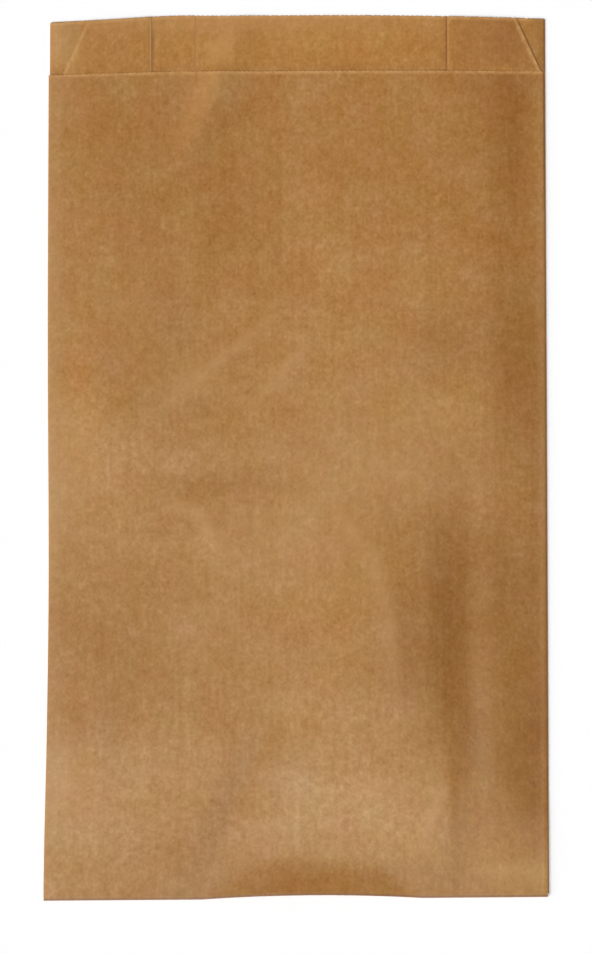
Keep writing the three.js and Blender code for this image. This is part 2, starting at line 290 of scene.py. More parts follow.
# Waviness of the whole panel: random waves, the longer the higher
WAVE_SEED = 5
WAVE_COUNT = 40
WAVE_LENGTHS = (12 * MM, 40 * MM)
WAVE_HEIGHT = 0.3 * MM
WAVE_FADE = 40 * MM


def waviness(x, y):
    """Random waves, from 0 to twice the wave height."""
    random = np.random.default_rng(WAVE_SEED)
    lengths = random.uniform(*WAVE_LENGTHS, WAVE_COUNT)
    headings = random.uniform(0, math.tau, WAVE_COUNT)
    phases = random.uniform(0, math.tau, WAVE_COUNT)
    total = 0
    for length, heading, phase in zip(lengths, headings, phases):
        along = x * math.cos(heading) + y * math.sin(heading)
        total = total + length * np.sin(math.tau * along / length + phase)
    return WAVE_HEIGHT * (1 + total / lengths.sum())


def front_relief(x, y):
    """Height of the front panel above where it would lie flat."""
    height = sum(swell(x, y, *swelling) for swelling in SWELLINGS)
    for points, width, share in HOLLOWS:
        height = height * (1 - share * line_profile(x, y, points, width))
    for points, width, top in CREASES + FLUTES:
        height = height + top * MM * line_profile(x, y, points, width)
    from_bottom = y + MIDDLE_Y
    from_side = np.minimum(x - FRONT_LEFT, FRONT_RIGHT - x)
    height = height + waviness(x, y) * smooth(from_side, 0, WAVE_FADE)
    at_side = smooth(from_side, 0, SIDE_FADE)
    at_bottom = smooth(from_bottom, 0, BOTTOM_FADE)
    at_mouth = MOUTH_RELIEF + (1 - MOUTH_RELIEF) * smooth(FRONT_END - from_bottom, 0, MOUTH_FADE)
    return height * at_side * at_bottom * at_mouth


# At the mouth the front panel sinks between the pleats, almost down to the back panel
MOUTH_SAG = 1.95 * LAYER_PITCH
SAG_RAMP = 10 * MM
SAG_LENGTH = 45 * MM


def mouth_sag(x, y):
    between = smooth(np.minimum(x - LEFT_INNER_X, RIGHT_INNER_X - x), 0, SAG_RAMP)
    near_mouth = 1 - smooth(FRONT_END - y - MIDDLE_Y, 0, SAG_LENGTH)
    return MOUTH_SAG * between * near_mouth


# The slanted cuts of the pleats curl up a little, the right one more than the left
LEFT_CURL = 0.08 * MM
RIGHT_CURL = 0.12 * MM
CURL_REACH = 5  # the width of a line, in millimetres
CURL_START = 5 * MM


def pleat_curl(u, v):
    """Lift of the pleats' upper layer near its slanted cut."""
    lift = 0
    for (start, end), curl in ((LEFT_SLANT_U, LEFT_CURL), (RIGHT_SLANT_U, RIGHT_CURL)):
        cut = ((start / MM, FRONT_END / MM), (end / MM, BACK_END / MM))
        lift = lift + curl * line_profile(u, v, cut, CURL_REACH)
    return lift * SECTION.is_upper_pleat(u) * smooth(v, FRONT_END, FRONT_END + CURL_START)


# Small departures from a square bag, the same for all layers: the cut is a little out of square, the lip bows
# out in the middle and left of it, the left fold wanders, and the bottom fold is drawn in and bent up along a
# shallow arc
OUT_OF_SQUARE = 0.0075
LIP_BOW = 1.9 * MM
LIP_BOW_SHARE = 0.3
LIP_BOW_FROM = 115 * MM
SHOULDER_X = -43 * MM
SHOULDER_REACH = 17 * MM
SHOULDER = 0.58 * MM
DRIFT_IN = 0.8 * MM
DRIFT_IN_Y = -45 * MM
DRIFT_IN_REACH = 60 * MM
DRIFT_OUT = 0.5 * MM
DRIFT_OUT_FROM = 90 * MM
DRIFT_WIDTH = 60 * MM
BEND_X = 5 * MM
BEND_HALF = 37 * MM
BEND_DEPTH = 13 * MM
BEND_SLOPE = 0.076
BEND_ROUNDING = 2 * MM
BEND_RIPPLE = 1.3 * MM
BEND_RIPPLE_LENGTH = 41 * MM
BEND_FADE_X = (16 * MM, 42 * MM)
BEND_FADE = 0.45
BOTTOM_DRAW = 1.2 * MM
BOTTOM_DRAW_LENGTH = 60 * MM

# A crease that runs through all layers at the mouth and weakens at the lip's end. Its line and its width are
# in millimetres.
MOUTH_CREASE = ((-3, 181), (-44.5, 88))
MOUTH_CREASE_WIDTH = 5.2
MOUTH_CREASE_HEIGHT = 0.85 * MM
MOUTH_CREASE_FADE = 0.65
MOUTH_CREASE_FADE_FROM = 137 * MM


def lie(x, y):
    """Where a point of the square bag comes to lie: its place and its lift off the table."""
    out = LIP_BOW * (LIP_BOW_SHARE - (x / HALF_WIDTH) ** 2)
    out = out + SHOULDER * np.exp(-((x - SHOULDER_X) / SHOULDER_REACH) ** 2)
    out = out * smooth(y, LIP_BOW_FROM, HALF_LENGTH)
    bend = np.maximum(0, 1 - ((x - BEND_X) / BEND_HALF) ** 2)
    depth = (BEND_DEPTH - BEND_RIPPLE * np.sin(math.tau * x / BEND_RIPPLE_LENGTH)) * bend
    slope = BEND_SLOPE * (1 - BEND_FADE * smooth(x, *BEND_FADE_X))
    lift = slope * above_zero(depth - y - HALF_LENGTH, BEND_ROUNDING)
    crease = MOUTH_CREASE_HEIGHT * line_profile(x, y, MOUTH_CREASE, MOUTH_CREASE_WIDTH)
    lift = lift + crease * (1 - MOUTH_CREASE_FADE * smooth(y, MOUTH_CREASE_FADE_FROM, HALF_LENGTH))
    drawn = BOTTOM_DRAW * bend * (1 - smooth(y + HALF_LENGTH, 0, BOTTOM_DRAW_LENGTH))
    drift = DRIFT_IN * np.exp(-((y - DRIFT_IN_Y) / DRIFT_IN_REACH) ** 2)
    drift = drift - DRIFT_OUT * smooth(-y, DRIFT_OUT_FROM, HALF_LENGTH)
    drift = drift * (1 - smooth(x + HALF_WIDTH, 0, DRIFT_WIDTH))
    return x + drift, y + OUT_OF_SQUARE * x + out + drawn, lift


def settle(v):
    """How far the layers lie below their height over the flap."""
    return GLUE_PITCH * smooth(v, SETTLE_START, SETTLE_END)


def fold(u, v):
    """Folds points of the flat sheet. Returns their places and the directions that face out of the bag."""
    x, z, normal_x, normal_z = SECTION.at(u)
    front = SECTION.is_front(u)
    turned = front & (v < 0)
    angle = np.where(turned, np.minimum(-v / BOTTOM_RADIUS, math.pi), 0)
    past = np.where(turned, np.maximum(0, -v - BOTTOM_ARC), 0)
    y = np.where(turned, past - BOTTOM_RADIUS * np.sin(angle), v) - MIDDLE_Y
    z = np.where(turned, FLAP_Z + BOTTOM_RADIUS * (1 + np.cos(angle)), z - settle(v))
    z = z + np.where(front & ~turned, front_relief(x, y) - mouth_sag(x, y), pleat_curl(u, v))
    normals = np.stack([normal_x, -np.sin(angle), np.where(turned, np.cos(angle), normal_z)], axis=1)
    normals /= np.linalg.norm(normals, axis=1)[:, None]
    x, y, lift = lie(x, y)
    return np.stack([x, y, z + lift], axis=1), normals


# The cut edges
def mouth_line(u):
    """The knife's line at the mouth without its teeth, and whether it is slanted there."""
    past = np.maximum(LEFT_SLANT_U[0] - u, u - RIGHT_SLANT_U[0])
    share = np.clip(past / SLANT_RUN, 0, 1)
    return FRONT_END + (BACK_END - FRONT_END) * share, (share > 0) & (share < 1)


def tooth_cut(u):
    """How far a tooth cuts back: nothing at its tip and the full depth between two tips."""
    phase = np.mod((u - SECTION.left_fold) / TOOTH_PITCH, 1)
    return TOOTH_DEPTH * np.abs(2 * phase - 1)


def edge_places(start, end):
    """The places along a cut edge that its ends, its teeth and the ends of the slanted cuts need."""
    half = TOOTH_PITCH / 2
    first = math.ceil((start - SECTION.left_fold) / half)
    last = math.floor((end - SECTION.left_fold) / half)
    teeth = SECTION.left_fold + half * np.arange(first, last + 1)
    kept = np.concatenate([[start, end], LEFT_SLANT_U, RIGHT_SLANT_U, teeth])
    kept = np.unique(kept[(kept >= start) & (kept <= end)])
    apart = np.concatenate([[True], np.diff(kept) > LEAST_STEP])
    return kept[apart]


class SheetMesh:
    """The flat sheet's vertices and faces. A row is a pair of arrays: u of each vertex, and its number."""

    def __init__(self):
        self.flat = []
        self.cut = []
        self.faces = []
        self.count = 0

    def row(self, u, v, from_cut):
        """Adds a row of vertices. from_cut is their distance from a cut edge."""
        numbers = np.arange(self.count, self.count + len(u))
        self.flat.append(np.stack([u, np.broadcast_to(v, u.shape)], axis=1))
        self.cut.append(np.broadcast_to(from_cut, u.shape))
        self.count += len(u)
        return u, numbers

    def fill(self, lower, upper):
        """Quads between two rows with the same places."""
        a, b = lower[1], upper[1]
        self.faces += np.stack([a[:-1], a[1:], b[1:], b[:-1]], axis=1).tolist()

    def stitch(self, lower, upper):
        """Triangles between two rows with different places."""
        (lower_u, a), (upper_u, b) = lower, upper
        i = j = 0
        while i < len(a) - 1 or j < len(b) - 1:
            lower_next = lower_u[i + 1] if i < len(a) - 1 else math.inf
            upper_next = upper_u[j + 1] if j < len(b) - 1 else math.inf
            if lower_next <= upper_next:
                self.faces.append([int(a[i]), int(a[i + 1]), int(b[j])])
                i += 1
            else:
                self.faces.append([int(a[i]), int(b[j + 1]), int(b[j])])
                j += 1


FAR_FROM_CUT = 1.0  # in metres, more than any mark of a cut reaches


def flat_sheet():
    """The mesh of the sheet from the mouth to the bottom fold, and on to the end of the flap."""
    sheet = SheetMesh()
    u = SECTION.u
    body_end = FRONT_END - MOUTH_START
    count = math.ceil((body_end - GUSSET_STOP) / ROW_STEP)
    rows = [sheet.row(u, v, FAR_FROM_CUT) for v in np.linspace(GUSSET_STOP, body_end, count + 1)]
    cut, slanted = mouth_line(u)
    steepness = np.where(slanted, math.hypot(LIP_LENGTH, SLANT_RUN) / SLANT_RUN, 1)
    plain_end = cut - np.where(slanted, TEETH_CLEAR, TOOTH_DEPTH + TEETH_CLEAR)
    for share in MOUTH_SHARES:
        v = body_end + (plain_end - body_end) * share
        rows.append(sheet.row(u, v, (cut - v) / steepness))
    for lower, upper in zip(rows, rows[1:]):
        sheet.fill(lower, upper)
    places = edge_places(0.0, SECTION.girth)
    cut, slanted = mouth_line(places)
    sheet.stitch(rows[-1], sheet.row(places, cut - np.where(slanted, 0, tooth_cut(places)), 0.0))

    front = SECTION.is_front(u)
    above = (u[front], rows[0][1][front])
    flap_rows = math.ceil(FLAP_LENGTH / ROW_STEP)
    flap_start = -BOTTOM_ARC
    flap_end = -BOTTOM_ARC - FLAP_LENGTH
    down = [-BOTTOM_ARC * k / BOTTOM_FACETS for k in range(BOTTOM_FACETS + 1)]
    down += list(np.linspace(flap_start, flap_end + TOOTH_DEPTH + TEETH_CLEAR, flap_rows + 1)[1:])
    for v in down:
        below = sheet.row(u[front], v, v - flap_end)
        sheet.fill(below, above)
        above = below
    places = edge_places(SECTION.front_from, SECTION.front_to)
    sheet.stitch(sheet.row(places, flap_end + tooth_cut(places), 0.0), above)
    return sheet


SHARP_ANGLE = math.radians(50)


def thick_mesh(name, sheet):
    """Folds the sheet and gives it its thickness: an outer face, an inner face and a rim along free edges."""
    flat = np.concatenate(sheet.flat)
    points, normals = fold(flat[:, 0], flat[:, 1])
    count = len(points)
    vertices = np.concatenate([points + normals * PAPER / 2, points - normals * PAPER / 2])
    outer = sheet.faces
    inner = [[n + count for n in reversed(face)] for face in outer]
    edges = {(a, b) for face in outer for a, b in zip(face, face[1:] + face[:1])}
    free = sorted((a, b) for a, b in edges if (b, a) not in edges)
    rim = [[b, a, a + count, b + count] for a, b in free]
    mesh = bpy.data.meshes.new(name)
    mesh.from_pydata(vertices.tolist(), [], outer + inner + rim)
    mesh.polygons.foreach_set("use_smooth", np.ones(len(mesh.polygons), dtype=bool))
    mesh.set_sharp_from_angle(angle=SHARP_ANGLE)
    write_attributes(mesh, flat, np.concatenate(sheet.cut))
    write_map(mesh, flat, len(outer))
    return mesh


# Places darkened with painted shade for the shading of the relief and the folds, and made smoother: the line,
# the width in millimetres and the share
PRESSED_AND_SHADED = (
    # Along the right side fold
    (((82, 20), (82, -166)), 7, 0.32),
    (((82, 80), (82, -60)), 4, 0.12),
    (((82, 110), (82, -18)), 4.5, 0.09),
    (((82, -76), (82, -106)), 4, 0.2),
    (((80, -84), (80, -148)), 7, 0.2),
    (((74, 75), (75, -24)), 11, 0.23),
    # High at the right
    (((73, 220), (75, 50)), 9, 0.26),
    (((66, 180), (66, 112)), 20, 0.22),
    (((74, 138), (74, 74)), 8, 0.13),
    (((58, 150), (60, 85)), 12, 0.08),
    (((54, 62), (54, 14)), 9, 0.14),
    (((44, 56), (42, 10)), 9, 0.13),
    # In the hollow low at the right
    (((57, 10), (57, -140)), 15, 0.13),
    (((50, 14), (50, -130)), 8, 0.11),
    (((48, -10), (48.5, -120)), 4.5, 0.12),
    (((54.5, 8), (56, -120)), 4.2, 0.17),
    (((64, -18), (66, -96)), 8, 0.14),
    (((65, -14), (65, -48)), 6, 0.1),
    (((72, -28), (72, -58)), 5, 0.14),
    (((66, -62), (66, -152)), 14, 0.24),
    (((59, -84), (59, -112)), 5, 0.16),
    (((52, -110), (54, -158)), 8, 0.12),
    (((54.5, -106), (54.5, -150)), 3.6, 0.1),
    # Low in the middle
    (((36, -40), (36, -84)), 8, 0.18),
    (((36, -66), (38, -98)), 6, 0.14),
    (((22, -52), (22, -118)), 15, 0.1),
    (((1, -54), (1, -80)), 7, 0.1),
    (((2, -92), (2, -124)), 6, 0.11),
    (((-6, -90), (-6, -126)), 8, 0.12),
    # High at the left
    (((0, 138), (-44, 94)), 5, 0.12),
    (((-24, 112), (-24, 44)), 12, 0.1),
    (((-42, 66), (-42, 30)), 6, 0.12),
    (((-66, 175), (-66, 118)), 18, 0.1),
    (((-58, 175), (-58, 10)), 26, 0.1),
    # Low at the left
    (((-54, -11), (6, -9)), 4.5, 0.15),
    (((-74, -20), (-74, -130)), 20, 0.17),
    (((-84, -92), (-54, -92)), 8, 0.1),
    (LOW_DENT, 6, 0.22),
    (((-84, -138), (-8, -138)), 16, 0.08),
    # Along the bottom fold
    (((-60, -149), (34, -149)), 8, 0.14),
    (((14, -143), (66, -143)), 6, 0.15),
    (((34, -149), (82, -149)), 6, 0.13),
)

# Dulled places, rougher: the same. A share below 0 is a smoother place.
DULLED = (
    (LOW_DENT, 7, 0.6),
    (((22, -52), (22, -118)), 16, 0.75),
    (((38, -70), (38, -100)), 7, 0.5),
    (((-78, -134), (-2, -134)), 18, 0.8),
    (((-88, -92), (-44, -92)), 9, 0.4),
    (((-56, -150), (60, -150)), 9, -0.7),
)

# Browner places, with less blue: the same
BROWNED = (
    (((58, -40), (58, -190)), 30, 1.0),
    (((0, -80), (0, -130)), 20, 0.8),
    (((55, 40), (55, 0)), 18, 0.7),
    (((-20, 100), (-20, 46)), 22, 0.6),
)

# Places painted paler, a painted sheen: the same
PAINTED_SHEEN = (
    (((-82, 190), (-82, 105)), 9, 0.24),
    (((-82, 34), (-82, -46)), 9, 0.2),
    (((-82, -90), (-82, -136)), 8, 0.24),
    (((-84.5, 260), (-84.5, -260)), 3, 0.14),
    (((-83.5, 130), (-83.5, 8)), 5, 0.13),
    (((84.4, 260), (84.4, -260)), 1.7, 0.16),
    (((-24, -9), (84, 3)), 20, 0.14),
    (((-50, -30), (40, -30)), 14, 0.13),
    (((-58, 66), (-58, 16)), 9, 0.1),
    (((-34, -34), (-34, -88)), 12, 0.08),
    (((-54, 14), (-26, 34)), 6, 0.22),
    (((-3, 190), (-45, 92)), 4.5, 0.06),
    (((50, -142), (116, -142)), 4, 0.2),
)
CREASE_LINE_NARROWING = 0.8  # the paler line on a crease is narrower than the crease
MOUTH_CREASE_HIGHLIGHT = (((1, 200), (-48, 89)), 4.6)  # a painted highlight on the lit side of the mouth's crease
LIP_EDGE_PALE = (((-120, 149), (76, 149)), 4.5)  # a paler band along the lip's cut edge


def pale_lines(x, y):
    """1 along the raised creases, the mouth crease's painted highlight and the lip's cut edge, and 0 away
    from them.
    """
    lines = [(points, width * CREASE_LINE_NARROWING) for points, width, top in CREASES if top > 0]
    return np.max([line_profile(x, y, *line) for line in lines + [MOUTH_CREASE_HIGHLIGHT, LIP_EDGE_PALE]], axis=0)


def marked(x, y, places):
    """The share that the listed places change the paper by, where they overlap too."""
    kept = 1
    for points, width, share in places:
        kept = kept * (1 - share * line_profile(x, y, points, width))
    return 1 - kept


# The inner face's places on the sheet lie this far along u, so that its pattern is its own
INSIDE_SHIFT = 1.0


def write_attributes(mesh, flat, from_cut):
    """Gives each vertex its place on the flat sheet, its side, and what is near it: cuts, folds and marks,
    among them painted shade and painted sheen.
    """
    count = len(flat)
    u, v = flat.T
    x, y = SECTION.at(u)[0], v - MIDDLE_Y
    on_front = SECTION.is_front(u) & (v > 0)
    past_front = v > FRONT_END
    in_view = on_front | (past_front & ~SECTION.is_lower_pleat(u))
    place = np.zeros((2 * count, 3))
    place[:count, :2] = flat
    place[count:, :2] = flat + (INSIDE_SHIFT, 0.0)
    mesh.attributes.new("flat_place", "FLOAT_VECTOR", "POINT").data.foreach_set("vector", place.ravel())
    same_on_both_faces = {
        "from_cut": from_cut,
        "from_fold": np.min([np.abs(u - line) for line in SECTION.folds], axis=0),
        # Among these marks: painted shade on the darkened places, painted sheen on the paler places, and a
        # painted highlight among the crease lines
        "crease": pale_lines(x, y) * in_view,
        "pressed_and_shaded": marked(x, y, PRESSED_AND_SHADED) * in_view,
        "dulled": marked(x, y, DULLED) * on_front,
        "browned": marked(x, y, BROWNED) * on_front,
        "painted_sheen": marked(x, y, PAINTED_SHEEN) * (on_front | past_front),
    }
    values = {name: np.tile(value, 2) for name, value in same_on_both_faces.items()}
    values["inside"] = np.repeat([0.0, 1.0], count)
    for name, value in values.items():
        mesh.attributes.new(name, "FLOAT", "POINT").data.foreach_set("value", value)


# The map for baked textures: the margin round each face, and the width of the strip for the rim
MAP_MARGIN = 6 * MM
MAP_RIM = 0.4 * MM
TINY = 1e-9  # keeps an edge without length from dividing by 0


def write_map(mesh, flat, face_count):
    """Lays the sheet's two faces flat, one above the other, as the map that textures are drawn on."""
    low = flat.min(axis=0)
    high = flat.max(axis=0)
    tall = high[1] - low[1] + MAP_MARGIN
    scale = 1 / max(high[0] - low[0] + 2 * MAP_MARGIN, 2 * tall + MAP_MARGIN)
    outer = (flat - low + MAP_MARGIN) * scale
    inner = outer + (0, tall * scale)
    count = len(flat)
    corners = np.zeros(len(mesh.loops), dtype=np.int64)
    mesh.loops.foreach_get("vertex_index", corners)
    places = np.concatenate([outer, inner])[corners]
    rim_start = mesh.polygons[2 * face_count].loop_start
    rim = corners[rim_start:]
    pairs = outer[rim % count].reshape(-1, 4, 2)
    along = pairs[:, 0] - pairs[:, 1]
    away = np.stack([-along[:, 1], along[:, 0]], axis=1)
    away *= MAP_RIM * scale / np.maximum(np.linalg.norm(away, axis=1), TINY)[:, None]
    pairs[:, 2:] += away[:, None]
    places[rim_start:] = pairs.reshape(-1, 2)
    layer = mesh.uv_layers.new(name="OFBake")
    layer.uv.foreach_set("vector", places.ravel())


# Materials
class NodeTree:
    """Adds shader nodes to a material and links them."""

    def __init__(self, tree):
        self.tree = tree

    def add(self, kind, inputs=None, **settings):
        node = self.tree.nodes.new(kind)
        for name, value in settings.items():
            setattr(node, name, value)
        for name, value in (inputs or {}).items():
            self.put(node.inputs[name], value)
        return node

    def put(self, socket, value):
        if isinstance(value, bpy.types.NodeSocket):
            self.tree.links.new(value, socket)
        else:
            socket.default_value = value

    def attribute(self, name, output="Fac"):
        return self.add("ShaderNodeAttribute", attribute_name=name).outputs[output]

    def math(self, operation, first, second=0.0, third=0.0):
        node = self.add("ShaderNodeMath", {0: first, 1: second, 2: third}, operation=operation)
        return node.outputs[0]

    def greatest(self, first, *others):
        for other in others:
            first = self.math("MAXIMUM", first, other)
        return first

    def weighted(self, middle, *patterns):
        """A middle value, with each pattern's departure from one half added by its weight."""
        total = middle - sum(weight for pattern, weight in patterns) / 2
        for pattern, weight in patterns:
            total = self.math("MULTIPLY_ADD", pattern, weight, total)
        return total

    def scaled(self, vector, scale, turn=0.0):
        """The vector turned about Z by an angle, then scaled."""
        turned = self.add("ShaderNodeMapping", {"Vector": vector, "Rotation": (0, 0, turn)}).outputs[0]
        return self.add("ShaderNodeVectorMath", {0: turned, 1: scale}, operation="MULTIPLY").outputs[0]

    def noise(self, vector, scale, detail=2.0, roughness=0.5):
        inputs = {"Vector": vector, "Scale": scale, "Detail": detail, "Roughness": roughness}
        return self.add("ShaderNodeTexNoise", inputs).outputs["Fac"]

    def ramp(self, value, low, high, start=0.0, end=1.0):
        """A smooth step from start to end as the value goes from low to high."""
        inputs = {"Value": value, "From Min": low, "From Max": high, "To Min": start, "To Max": end}
        return self.add("ShaderNodeMapRange", inputs, interpolation_type="SMOOTHSTEP").outputs[0]

    def mix(self, share, first, second, blend="MIX"):
        """Mixes two colours. Inputs 6 and 7 and output 2 are the node's colour sockets."""
        node = self.add("ShaderNodeMix", data_type="RGBA", blend_type=blend)
        self.put(node.inputs[0], share)
        self.put(node.inputs[6], first)
        self.put(node.inputs[7], second)
        return node.outputs[2]


def rgb(red, green, blue):
    """A colour from its display values, 0 to 255, made linear by the sRGB formula."""
    def linear(value):
        value /= 255
        return value / 12.92 if value <= 0.04045 else ((value + 0.055) / 1.055) ** 2.4
    return linear(red), linear(green), linear(blue), 1.0


WHITE = (1.0, 1.0, 1.0, 1.0)

# Colours of the paper, and tints that multiply them
KRAFT_DARK = rgb(146, 90, 2)
KRAFT = rgb(166, 114, 53)
KRAFT_LIGHT = rgb(189, 139, 86)
SHIVE = rgb(104, 66, 32)
# The pale colour of the painted sheen
PAINTED_SHEEN_COLOUR = rgb(205, 166, 120)
CUT_FIBRE = rgb(204, 152, 92)
# The tint of painted shade, for the darkened places and for the dark lines along folds and cuts
PAINTED_SHADE_TINT = (0.4, 0.2, 0.04, 1.0)
BROWN_TINT = (1.0, 0.975, 0.7, 1.0)
INSIDE_TINT = (1.06, 1.01, 0.76, 1.0)
GOLDEN_TINT = (1.0, 1.024, 0.94, 1.0)
ROSY_TINT = (1.024, 0.984, 1.035, 1.0)
THIN_TINT = (1.014, 1.0, 0.945, 1.0)
THICK_TINT = (0.982, 1.002, 1.055, 1.0)

# Patterns of the paper: how many to a millimetre, and the noise's detail and roughness
CLOUDS = (0.07, 1.0, 0.6)
HUE_CLOUDS = (0.06, 2.0, 0.7)
MOTTLE = (0.3, 2.0, 0.85)
GRAIN = (0.8, 0.5, 0.5)
LENGTHWISE = (1.0, 0.5)
FIBRES = (1.0, 0.0)
SWIRL = (0.36, 1.0)
WEB_LINES = (1.0, 1.0)
SPECKS = 0.12

# Their scales across and along the bag, and their turns in radians
PER_MM = (1 / MM, 1 / MM, 1 / MM)
EVEN = (1, 1, 1)
MOTTLE_SCALE = (1.1, 0.9, 1)
LENGTHWISE_SCALE = (1, 0.25, 1)
FIBRE_SCALE = (1.7, 0.26, 1)
WEB_SCALE = (0.45, 0.012, 1)
HUE_TURN = 0.9
LEANING_TURN = 0.6
CROSSING_TURN = -0.7
SWIRL_TURN = 0.4

# The middle of a pattern's values, and the ranges over which they take effect
MIDDLE = 0.5
DARK_RANGE = (0.15, 0.55)
LIGHT_RANGE = (0.45, 0.85)
HUE_RANGE = (0.3, 0.7)
FIBRE_RANGE = (0.63, 0.74)
CURL_RANGE = (0.03, 0.0)
SPECK_RANGE = (0.06, 0.02)

# How much each pattern counts in the tone, and the shares of pale fibres and dark specks
CLOUD_TONE = 0.3
MOTTLE_TONE = 0.64
GRAIN_TONE = 0.25
LENGTHWISE_TONE = 0.13
WEB_TONE = 0.16
FIBRE_SHARE = 0.16
SPECK_SHARE = 0.4

# Torn fibre along the cuts, in patches from weak to strong, rubbed folds, and paler creases with a painted
# highlight on the mouth's crease
TORN_REACH = (1.7 * MM, 0.4 * MM)
TORN_PATCHES = (0.38, 0.62)
TORN_SHARES = (0.35, 0.7)
RUBBED_REACH = (0.9 * MM, 0.0)
RUBBED_SHARES = (0.0, 0.25)
CREASE_SHARE = 0.4

# The surface: its roughness and what changes it, its fine relief and its sheen
ROUGHNESS = 0.41
MOTTLE_ROUGHNESS = -0.12
ROUGHNESS_CHANGES = {"inside": 0.2, "pressed_and_shaded": -0.36, "dulled": 0.16}
GRAIN_RELIEF = 0.6
LENGTHWISE_RELIEF = 0.3
FIBRE_RELIEF = 0.3
BUMP_STRENGTH = 0.3
BUMP_DISTANCE = 0.06 * MM
SPECULAR_LEVEL = 0.62
SPECULAR_TINT = (0.94, 1.0, 0.8, 1.0)


class Patterns:
    """The patterns of the paper itself, as values from 0 to 1."""

    def __init__(self, nodes, sheet):
        self.clouds = nodes.noise(sheet, *CLOUDS)
        self.hue_clouds = nodes.noise(nodes.scaled(sheet, EVEN, HUE_TURN), *HUE_CLOUDS)
        self.mottle = nodes.noise(nodes.scaled(sheet, MOTTLE_SCALE), *MOTTLE)
        self.grain = nodes.noise(sheet, *GRAIN)
        self.lengthwise = nodes.noise(nodes.scaled(sheet, LENGTHWISE_SCALE), *LENGTHWISE)
        leaning = nodes.noise(nodes.scaled(sheet, FIBRE_SCALE, LEANING_TURN), *FIBRES)
        crossing = nodes.noise(nodes.scaled(sheet, FIBRE_SCALE, CROSSING_TURN), *FIBRES)
        self.swirl = nodes.noise(nodes.scaled(sheet, EVEN, SWIRL_TURN), *SWIRL)
        self.web_lines = nodes.noise(nodes.scaled(sheet, WEB_SCALE), *WEB_LINES)
        off_curl = nodes.math("ABSOLUTE", nodes.math("SUBTRACT", self.swirl, MIDDLE))
        straight = [nodes.ramp(pattern, *FIBRE_RANGE) for pattern in (leaning, crossing)]
        self.fibres = nodes.greatest(*straight, nodes.ramp(off_curl, *CURL_RANGE))


def fresh_colour(nodes, sheet, patterns):
    """The colour of the paper as it is made: its tone, its pale fibres and its dark specks."""
    tone = nodes.weighted(
        MIDDLE,
        (patterns.clouds, CLOUD_TONE),
        (patterns.mottle, MOTTLE_TONE),
        (patterns.grain, GRAIN_TONE),
        (patterns.lengthwise, LENGTHWISE_TONE),
        (patterns.web_lines, WEB_TONE),
    )
    dark_to_middle = nodes.mix(nodes.ramp(tone, *DARK_RANGE), KRAFT_DARK, KRAFT)
    colour = nodes.mix(nodes.ramp(tone, *LIGHT_RANGE), dark_to_middle, KRAFT_LIGHT)
    colour = nodes.mix(nodes.math("MULTIPLY", patterns.fibres, FIBRE_SHARE), colour, KRAFT_LIGHT)
    cells = nodes.add("ShaderNodeTexVoronoi", {"Vector": sheet, "Scale": SPECKS})
    speck = nodes.ramp(cells.outputs["Distance"], *SPECK_RANGE)
    return nodes.mix(nodes.math("MULTIPLY", speck, SPECK_SHARE), colour, SHIVE)


def hued_colour(nodes, patterns, colour):
    """The colour with the slight changes of hue from place to place."""
    hue = nodes.mix(nodes.ramp(patterns.hue_clouds, *HUE_RANGE), GOLDEN_TINT, ROSY_TINT)
    colour = nodes.mix(1.0, colour, hue, "MULTIPLY")
    thickness = nodes.mix(nodes.ramp(patterns.clouds, *HUE_RANGE), THIN_TINT, THICK_TINT)
    colour = nodes.mix(1.0, colour, thickness, "MULTIPLY")
    return nodes.mix(nodes.attribute("browned"), colour, BROWN_TINT, "MULTIPLY")


def worn_and_painted_colour(nodes, sheet, patterns, colour):
    """The colour with torn fibre along the cuts, rubbed folds, paler creases with a painted highlight on the
    mouth's crease, and painted shade and painted highlights along folds and cuts.
    """
    torn = nodes.ramp(nodes.attribute("from_cut"), *TORN_REACH)
    torn = nodes.math("MULTIPLY", torn, nodes.ramp(patterns.swirl, *TORN_PATCHES, *TORN_SHARES))
    colour = nodes.mix(torn, colour, CUT_FIBRE)
    rubbed = nodes.ramp(nodes.attribute("from_fold"), *RUBBED_REACH, *RUBBED_SHARES)
    # Paler lines along the raised creases and the lip's cut edge, with a painted highlight on the lit side of
    # the mouth's crease
    crease = nodes.math("MULTIPLY", nodes.attribute("crease"), CREASE_SHARE)
    colour = nodes.mix(nodes.greatest(rubbed, crease), colour, KRAFT_LIGHT)
    painted_shade_mark, painted_highlight_mark = painted_fold_shade_and_highlight(nodes, sheet)
    # Painted shade, then painted highlights, along folds and cuts
    colour = nodes.mix(painted_shade_mark, colour, PAINTED_SHADE_TINT, "MULTIPLY")
    return nodes.mix(painted_highlight_mark, colour, KRAFT_LIGHT)


def paper_colour(nodes, sheet, patterns):
    colour = fresh_colour(nodes, sheet, patterns)
    # Painted shade darkens the listed shaded places
    colour = nodes.mix(nodes.attribute("pressed_and_shaded"), colour, PAINTED_SHADE_TINT, "MULTIPLY")
    # Painted sheen pales the listed places
    colour = nodes.mix(nodes.attribute("painted_sheen"), colour, PAINTED_SHEEN_COLOUR)
    colour = hued_colour(nodes, patterns, colour)
    colour = nodes.mix(nodes.attribute("inside"), colour, INSIDE_TINT, "MULTIPLY")
    return worn_and_painted_colour(nodes, sheet, patterns, colour)


def paper_roughness(nodes, patterns):
    rough = nodes.weighted(ROUGHNESS, (patterns.mottle, MOTTLE_ROUGHNESS))
    for name, change in ROUGHNESS_CHANGES.items():
        rough = nodes.math("MULTIPLY_ADD", nodes.attribute(name), change, rough)
    return rough


